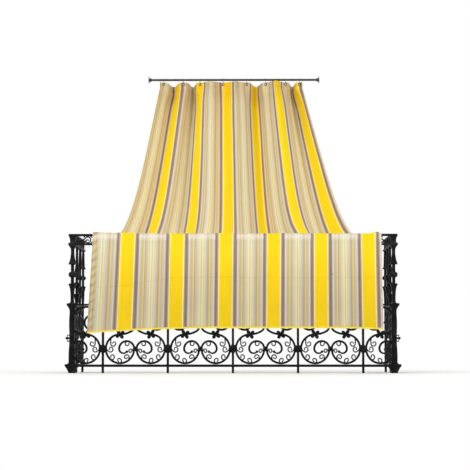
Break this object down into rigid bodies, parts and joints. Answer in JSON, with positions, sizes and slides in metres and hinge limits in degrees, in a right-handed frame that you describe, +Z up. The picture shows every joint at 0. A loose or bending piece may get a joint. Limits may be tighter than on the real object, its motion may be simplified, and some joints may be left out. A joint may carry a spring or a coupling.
{
  "type": "fabric awning with balcony railing",
  "caption": "Striped cloth awning hung from a rod by eyelets and wire hooks, sloping down over a wrought iron balcony railing and dropping in front of it.",
  "frame": {"origin": "centre of the railing's footprint, on the floor", "axes": "+X along the front rail to the viewer's right, +Y back towards the wall, +Z up"},
  "size_m": [2.274, 0.8, 2.139],
  "materials": {
    "striped_cloth": "woven matte cotton, woven stripes",
    "binding_tape": "woven matte tape",
    "eyelet_metal": "dull, darkened",
    "hook_wire": "zinc plated wire",
    "rod_steel": "dull",
    "socket_metal": "dull",
    "wrought_iron": "black paint, satin"
  },
  "bodies": {
    "root": {"awning_cloth": "striped_cloth", "bottom_binding": "binding_tape", "eyelet_1": "eyelet_metal", "eyelet_2": "eyelet_metal", "eyelet_3": "eyelet_metal", "eyelet_4": "eyelet_metal", "eyelet_5": "eyelet_metal", "eyelet_6": "eyelet_metal", "eyelet_7": "eyelet_metal", "eyelet_8": "eyelet_metal", "s_hook_1": "hook_wire", "s_hook_2": "hook_wire", "s_hook_3": "hook_wire", "s_hook_4": "hook_wire", "s_hook_5": "hook_wire", "s_hook_6": "hook_wire", "s_hook_7": "hook_wire", "s_hook_8": "hook_wire", "hanging_rod": "rod_steel", "rod_socket_left": "socket_metal", "rod_socket_right": "socket_metal", "handrail_front": "wrought_iron", "handrail_left": "wrought_iron", "handrail_right": "wrought_iron", "frieze_bar_front": "wrought_iron", "frieze_bar_left": "wrought_iron", "frieze_bar_right": "wrought_iron", "middle_bar_front": "wrought_iron", "middle_bar_left": "wrought_iron", "middle_bar_right": "wrought_iron", "bottom_bar_front": "wrought_iron", "bottom_bar_left": "wrought_iron", "bottom_bar_right": "wrought_iron", "corner_post_left": "wrought_iron", "corner_post_right": "wrought_iron", "upright_front_1": "wrought_iron", "upright_front_2": "wrought_iron", "upright_front_3": "wrought_iron", "upright_front_4": "wrought_iron", "upright_front_5": "wrought_iron", "upright_side_left": "wrought_iron", "upright_side_right": "wrought_iron", "wall_post_left": "wrought_iron", "wall_post_right": "wrought_iron", "baluster_front_1": "wrought_iron", "baluster_front_2": "wrought_iron", "baluster_front_3": "wrought_iron", "baluster_front_4": "wrought_iron", "baluster_side_left": "wrought_iron", "baluster_side_right": "wrought_iron", "scrolls_front_1": "wrought_iron", "scrolls_front_2": "wrought_iron", "scrolls_front_3": "wrought_iron", "scrolls_front_4": "wrought_iron", "scrolls_front_5": "wrought_iron", "scrolls_front_6": "wrought_iron", "scrolls_side_left_1": "wrought_iron", "scrolls_side_left_2": "wrought_iron", "scrolls_side_right_1": "wrought_iron", "scrolls_side_right_2": "wrought_iron"}
  },
  "joints": []
}
